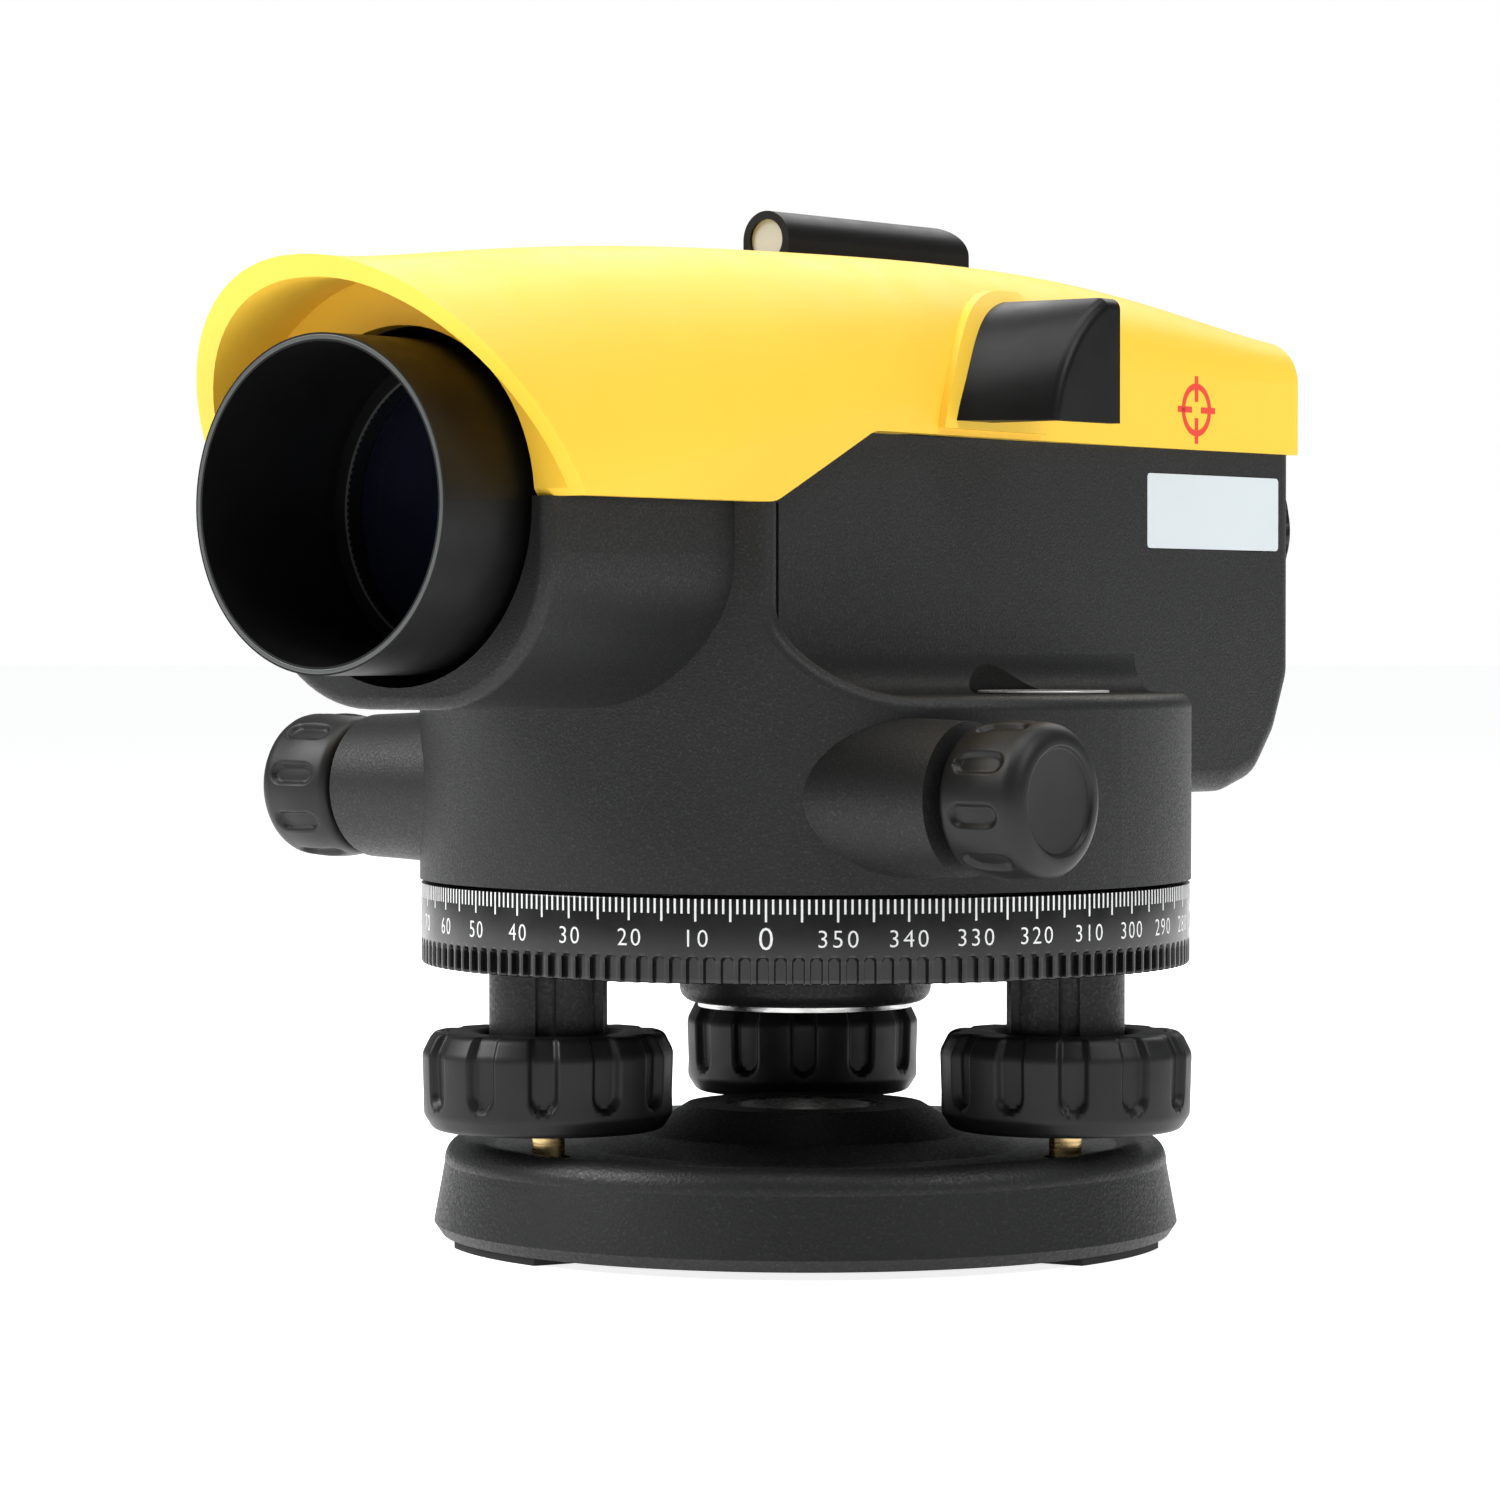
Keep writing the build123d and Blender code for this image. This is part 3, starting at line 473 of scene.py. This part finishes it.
def footscrew_knob(side, materials):
    """Fluted knob with a dished top and its bore."""
    node = f"footscrew_knob_{side}"
    place, height = node_place(node, Matrix.Identity(3))
    low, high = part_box(node)
    radius = (high.x - low.x) / 2
    bore, recess, recess_z = 3.05 * MM, 8.8 * MM, height - 4.7 * MM
    outline = rounded(
        [(bore, 0), (radius - 1.5 * MM, 0), (radius - 0.25 * MM, 2.0 * MM), (radius, height - 2.6 * MM),
         (radius - 1.3 * MM, height), (recess, height), (recess - 0.3 * MM, recess_z), (bore, recess_z)],
        [0, 1.4 * MM, 1.4 * MM, 2.2 * MM, 1.3 * MM, 1.2 * MM, 0.4 * MM, 0], 7)
    outline = subdivided_rows(outline, 0.45 * MM)
    turn = math.radians(LEFT_FOOTSCREW_TURN + 120 * FOOTSCREWS.index(side))
    flutes, half, end_z, depth, soft = 12, 2.15 * MM, 2.9 * MM, 1.05 * MM, 0.8 * MM
    wall_r = radius - 3.2 * MM

    def radius_at(r, z, angle):
        if r < wall_r:
            return r
        off = abs(((angle - turn) * flutes / math.tau + 0.5) % 1 - 0.5) * math.tau / flutes * radius
        inside = half - math.hypot(off, max(0.0, end_z + half - z))
        return r - depth * smooth_step(inside / soft) * smooth_step((r - wall_r) / soft)

    vertices, faces = lathe(outline, flutes * 48, radius_at, place)
    knob = new_piece(f"knob_{side}", vertices, faces, materials["knob"], f"{side}_screw")
    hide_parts(node)


def side_knob(node, piece_name, body, direction, flutes, groove_depth, recess_share, materials):
    """Knob on a cross shaft, with closed oval flutes and a dished end."""
    turn = Matrix.Rotation(math.radians(90 * direction), 3, "Y")
    place, length = node_place(node, turn)
    low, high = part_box(node)
    radius = (high.z - low.z) / 2
    recess = radius * recess_share
    outline = rounded([(0, 0), (radius - 0.9 * MM, 0), (radius, length * 0.42), (radius - 0.5 * MM, length),
                       (recess, length - 0.15 * MM), (recess - 0.25 * MM, length - 0.6 * MM),
                       (0, length - 0.6 * MM)],
                      [0, 1.6 * MM, 20 * MM, 2.4 * MM, 0.35 * MM, 0.3 * MM, 0], 6)
    rows = subdivided_rows(outline[1:-1], 0.35 * MM)
    # The rows come back to their start; the run that closes them is left off.
    end = rows.index(min(rows, key=lambda p: math.dist(p, outline[-2]))) + 1
    outline = [outline[0]] + rows[:end] + [outline[-1]]
    middle, half = length * 0.47, length * 0.30

    def radius_at(r, z, angle):
        if r < radius - 2.0 * MM:
            return r
        along = max(0.0, abs(z - middle) - half + 1.6 * MM)
        off = abs((angle * flutes / math.tau + 0.5) % 1 - 0.5) * math.tau / flutes * radius
        inside = 1.65 * MM - math.hypot(along, off)
        return r - groove_depth * smooth_step(inside / (0.7 * MM))

    vertices, faces = lathe(outline, flutes * 32, radius_at, place)
    knob = new_piece(piece_name, vertices, faces, materials["knob"], body)
    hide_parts(node)


def eyepiece_pieces(materials):
    """Focusing ring of the eyepiece with its ribs, and the smooth rubber cup."""
    turn = Matrix.Rotation(math.radians(-90), 3, "X")
    for node, name, slot in (("eyepiece_ring", "eyepiece_ring_ribbed", "trim_black"),
                             ("eyecup", "eyecup_soft", "rubber")):
        place, length = node_place(node, turn)
        low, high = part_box(node)
        radius, bore = (high.x - low.x) / 2, 9.05 * MM
        if slot == "rubber":
            outline = rounded([(bore, 0), (radius, 0), (radius - 0.6 * MM, length * 0.35),
                               (radius - 1.0 * MM, length * 0.5), (radius - 0.9 * MM, length - 1.2 * MM),
                               (radius - 1.9 * MM, length), (bore, length - 0.3 * MM)],
                              [0.2 * MM, 0.5 * MM, 0.4 * MM, 0.6 * MM, 0.8 * MM, 0.6 * MM, 0.5 * MM], 5)
            vertices, faces = lathe(outline, 128, None, place)
        else:
            outline = rounded([(bore, 0), (radius - 0.8 * MM, 0), (radius, 1.0 * MM),
                               (radius, length - 1.2 * MM), (radius - 1.2 * MM, length), (bore, length)],
                              [0.2 * MM, 0.4 * MM, 0.5 * MM, 0.6 * MM, 0.5 * MM, 0.2 * MM], 4)
            outline = subdivided_rows(outline, 0.6 * MM)
            ribs = 40

            def radius_at(r, z, angle, radius=radius, length=length):
                if r < radius - 1.5 * MM:
                    return r
                low_end = smooth_step((z - 0.9 * MM) / (0.5 * MM))
                high_end = smooth_step((length - 1.1 * MM - z) / (0.5 * MM))
                return r - 0.45 * MM * flute(angle, ribs, math.radians(2.6), 0.8) * low_end * high_end

            vertices, faces = lathe(outline, ribs * 12, radius_at, place)
        piece = new_piece(name, vertices, faces, materials[slot], "eyepiece")
        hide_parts(node)


# ---- small detail ----
def tripod_thread(materials):
    """Bush with its 5/8 inch thread, 11 turns to the inch, as a helical groove."""
    low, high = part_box("tripod_bush")
    outer, minor, major = high.x, 6.75 * MM, 7.9 * MM
    pitch = 25.4 / 11 * MM
    columns, rows, top = 72, 96, 14.6 * MM
    vertices, faces = [], []
    for k in range(rows + 1):
        z = top * k / rows
        for i in range(columns):
            angle = math.tau * i / columns
            wave = abs(((z / pitch - i / columns) % 1) - 0.5) * 2
            run_out = smooth_step(z / (1.2 * MM)) * smooth_step((top - z) / (1.2 * MM))
            r = minor + (major - minor) * smooth_step((wave - 0.12) / 0.76) * run_out
            vertices.append((r * math.cos(angle), r * math.sin(angle), z))
    for r, z in ((9.4 * MM, high.z - 0.2 * MM), (9.7 * MM, high.z), (outer - 0.1 * MM, high.z),
                 (outer, high.z - 0.2 * MM), (outer, low.z + 0.2 * MM), (outer - 0.2 * MM, low.z)):
        vertices += [(r * math.cos(math.tau * i / columns), r * math.sin(math.tau * i / columns), z)
                     for i in range(columns)]
    loops = len(vertices) // columns
    for k in range(loops):
        a, b = k * columns, (k + 1) % loops * columns
        faces += [(a + i, a + (i + 1) % columns, b + (i + 1) % columns, b + i) for i in range(columns)]
    bush = new_piece("tripod_bush_threaded", vertices, faces, materials["steel"], "base")
    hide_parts("tripod_bush")


def circular_level(materials):
    """What is seen in the level: its liquid with a domed glass, a target ring, the bubble and the rim."""
    low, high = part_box("level_vial")
    middle, radius = (low + high) / 2, (high.x - low.x) / 2
    place = Matrix.Translation((middle.x, middle.y, high.z))
    dome = [(0, 0.0)] + [(radius * s, -0.35 * MM * s * s) for s in (0.25, 0.5, 0.75, 0.95)]
    dome += [(radius, -0.6 * MM), (radius, low.z - high.z), (0, low.z - high.z)]
    vertices, faces = lathe(dome, 64, None, place)
    vial = new_piece("level_liquid", vertices, faces, materials["vial"], "alidade")
    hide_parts("level_vial")
    for name, r, half, slot in (("level_target", 2.9 * MM, 0.12 * MM, "trim_black"),
                                ("level_bubble", 2.0 * MM, 0.16 * MM, "paint_white")):
        z = 0.02 * MM - 0.35 * MM * (r / radius) ** 2
        ring = rounded([(r - half, z), (r + half, z), (r + half, z + 0.06 * MM), (r - half, z + 0.06 * MM)],
                       [0.02 * MM] * 4, 2)
        vertices, faces = lathe(ring, 48, None, place)
        new_piece(name, vertices, faces, materials[slot], "alidade")
    # The level's rim is near white: a real metal rim with a painted glint on it.
    cup_low, cup_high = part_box("level_cup")
    rim_r, top = (cup_high.x - cup_low.x) / 2 + 0.04 * MM, cup_high.z + 0.03 * MM
    rim = rounded([(radius + 0.1 * MM, top - 0.3 * MM), (rim_r, top - 0.3 * MM), (rim_r, top),
                   (radius + 0.1 * MM, top)], [0, 0, 0.14 * MM, 0.12 * MM], 3)
    vertices, faces = lathe(rim, 96, None, Matrix.Translation((middle.x, middle.y, 0)))
    new_piece("level_rim", vertices, faces, materials["rim_metal_painted_glint"], "alidade")


def objective(materials):
    """Objective lens with its domed front, and a painted highlight on the edge of the ring that holds it."""
    low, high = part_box("objective_lens")
    radius, middle, length = (high.x - low.x) / 2 - 0.05 * MM, (low + high) / 2, high.y - low.y
    lay = Matrix.Rotation(math.radians(-90), 4, "X")
    sag, clear_r, steps = 1.5 * MM, 16.9 * MM, 24
    dome = [(clear_r * k / steps, -sag * (1 - (k / steps) ** 2)) for k in range(steps + 1)]
    profile = dome + [(radius, 0.1 * MM), (radius, length - 0.1 * MM), (radius - 0.4 * MM, length),
                      (0, length * 0.7)]
    vertices, faces = lathe(profile, 128, None, Matrix.Translation((middle.x, low.y, middle.z)) @ lay)
    glass = new_piece("objective_glass", vertices, faces, materials["lens"], "alidade")
    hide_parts("objective_lens")
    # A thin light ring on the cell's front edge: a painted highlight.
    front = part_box("objective_ring")[0].y
    bore = 17.0 * MM
    edge = [(bore, 0), (bore + 0.32 * MM, 0), (bore + 0.32 * MM, 0.3 * MM), (bore, 0.3 * MM)]
    vertices, faces = lathe([(r, z - 0.05 * MM) for r, z in edge], 128, None,
                            Matrix.Translation((middle.x, front, middle.z)) @ lay)
    new_piece("cell_edge_painted_highlight", vertices, faces, materials["hood_edge"], "alidade")


def hood_rim(materials):
    """The lighter edge round the mouth of the lens hood."""
    low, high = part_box("lens_hood")
    radius, middle = (high.x - low.x) / 2, (low + high) / 2
    place = Matrix.Translation((middle.x, low.y, middle.z)) @ Matrix.Rotation(math.radians(-90), 4, "X")
    outline = rounded([(radius - 0.75 * MM, 0), (radius - 0.2 * MM, 0), (radius - 0.2 * MM, 0.3 * MM),
                       (radius - 0.75 * MM, 0.3 * MM)], [0.1 * MM, 0.1 * MM, 0, 0], 3)
    outline = [(r, z - 0.06 * MM) for r, z in outline]
    vertices, faces = lathe(outline, 160, None, place)
    new_piece("hood_rim", vertices, faces, materials["hood_edge"], "alidade")


def cover_mark(materials):
    """A plain ring and cross in red on the cover's side, laid on it by rays from outside."""
    middle_y, middle_z, proud, outside_x = 57 * MM, 109.2 * MM, 0.03 * MM, 60 * MM
    cover = NODES["top_cover"]
    outlines = []
    ring_r, half, steps = 3.2 * MM, 0.42 * MM, 48
    for k in range(steps):
        a, b = math.tau * k / steps, math.tau * (k + 1) / steps
        outlines.append([(r * math.cos(t), r * math.sin(t)) for r, t in
                         ((ring_r - half, a), (ring_r + half, a), (ring_r + half, b), (ring_r - half, b))])
    inner, outer = 1.1 * MM, 4.6 * MM
    for dy, dz in ((1, 0), (-1, 0), (0, 1), (0, -1)):
        outlines.append([(dy * reach - dz * side, dz * reach + dy * side) for reach, side in
                         ((inner, half), (outer, half), (outer, -half), (inner, -half))])
    vertices, faces = [], []
    for outline in outlines:
        first = len(vertices)
        for y, z in outline:
            start = Vector((outside_x, middle_y + y, middle_z + z))
            _, place, _, _ = cover.ray_cast(start, Vector((-1, 0, 0)))
            vertices += [place + Vector((proud, 0, 0)), place - Vector((proud, 0, 0))]
        faces += [tuple(first + i for i in quad) for quad in
                  ((0, 2, 4, 6), (7, 5, 3, 1), (0, 1, 3, 2), (2, 3, 5, 4), (4, 5, 7, 6), (6, 7, 1, 0))]
    new_piece("cover_mark", vertices, faces, materials["mark_red"], "alidade", smooth=False)


make_camera()
materials = make_materials()
make_studio()
dress_cad(materials)
circle_ring(materials)
graduation(materials)
numerals(materials)
for screw in FOOTSCREWS:
    footscrew_knob(screw, materials)
side_knob("drive_knob_right", "fine_knob_right", "drive", 1, 9, 0.7 * MM, 0.68, materials)
side_knob("drive_knob_left", "fine_knob_left", "drive", -1, 9, 0.7 * MM, 0.68, materials)
side_knob("focus_knob", "focus_knob_fluted", "focus", -1, 14, 0.7 * MM, 0.62, materials)
eyepiece_pieces(materials)
tripod_thread(materials)
circular_level(materials)
objective(materials)
hood_rim(materials)
cover_mark(materials)
